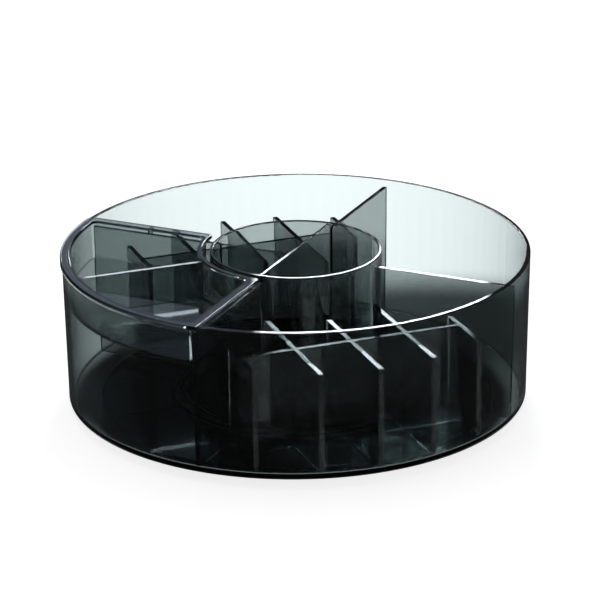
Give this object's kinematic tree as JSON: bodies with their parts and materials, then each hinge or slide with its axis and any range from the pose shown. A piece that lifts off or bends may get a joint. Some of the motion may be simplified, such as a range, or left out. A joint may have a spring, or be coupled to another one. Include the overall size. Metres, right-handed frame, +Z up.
{
  "type": "rotating makeup organizer",
  "caption": "Round smoked-plastic tub that turns on a ball-bearing base, with a divided centre cup, sector dividers, a hanging lift-out tray and lift-out grid inserts.",
  "frame": {"origin": "on the table under the turning axis", "axes": "+Z up along the turning axis, -Y towards the front grid insert, -X towards the lift-out tray"},
  "size_m": [0.2961, 0.295, 0.101],
  "materials": {
    "smoked_plastic": "clear smoked grey, polished",
    "base_plastic": "dark grey",
    "foot_rubber": "matt",
    "cage_plastic": "white, satin",
    "ball_steel": "polished",
    "pivot_steel": "zinc plated"
  },
  "bodies": {
    "base": {"base_plate": "base_plastic", "foot_pad_1": "foot_rubber", "foot_pad_2": "foot_rubber", "foot_pad_3": "foot_rubber", "foot_pad_4": "foot_rubber", "foot_pad_5": "foot_rubber", "foot_pad_6": "foot_rubber"},
    "bearing": {"ball_cage": "cage_plastic", "bearing_ball_01": "ball_steel", "bearing_ball_02": "ball_steel", "bearing_ball_03": "ball_steel", "bearing_ball_04": "ball_steel", "bearing_ball_05": "ball_steel", "bearing_ball_06": "ball_steel", "bearing_ball_07": "ball_steel", "bearing_ball_08": "ball_steel", "bearing_ball_09": "ball_steel", "bearing_ball_10": "ball_steel", "bearing_ball_11": "ball_steel", "bearing_ball_12": "ball_steel"},
    "turning_drum": {"drum": "smoked_plastic", "center_cup": "smoked_plastic", "sector_divider_front_left": "smoked_plastic", "sector_divider_front_right": "smoked_plastic", "sector_divider_back_right": "smoked_plastic", "sector_divider_back_left": "smoked_plastic", "cup_divider_long": "smoked_plastic", "cup_divider_short": "smoked_plastic", "pivot_screw": "pivot_steel", "pivot_washer": "pivot_steel"},
    "tray": {"lift_out_tray": "smoked_plastic"},
    "front_grid": {"front_grid_insert": "smoked_plastic"},
    "back_grid": {"back_grid_insert": "smoked_plastic"}
  },
  "joints": [
    {"name": "turntable_spin", "type": "hinge", "parent": "base", "child": "turning_drum", "pos_m": [0, 0, 0.0045], "axis": [0, 0, 1], "continuous": true},
    {"name": "cage_spin", "type": "hinge", "parent": "base", "child": "bearing", "pos_m": [0, 0, 0.0045], "axis": [0, 0, 1], "continuous": true},
    {"name": "tray_lift", "type": "slide", "parent": "turning_drum", "child": "tray", "axis": [0, 0, 1], "range_m": [0, 0.04]},
    {"name": "front_grid_lift", "type": "slide", "parent": "turning_drum", "child": "front_grid", "axis": [0, 0, 1], "range_m": [0, 0.095]},
    {"name": "back_grid_lift", "type": "slide", "parent": "turning_drum", "child": "back_grid", "axis": [0, 0, 1], "range_m": [0, 0.095]}
  ],
  "couplings": [
    {"joint": "cage_spin", "follows": "turntable_spin", "ratio": 0.5}
  ]
}
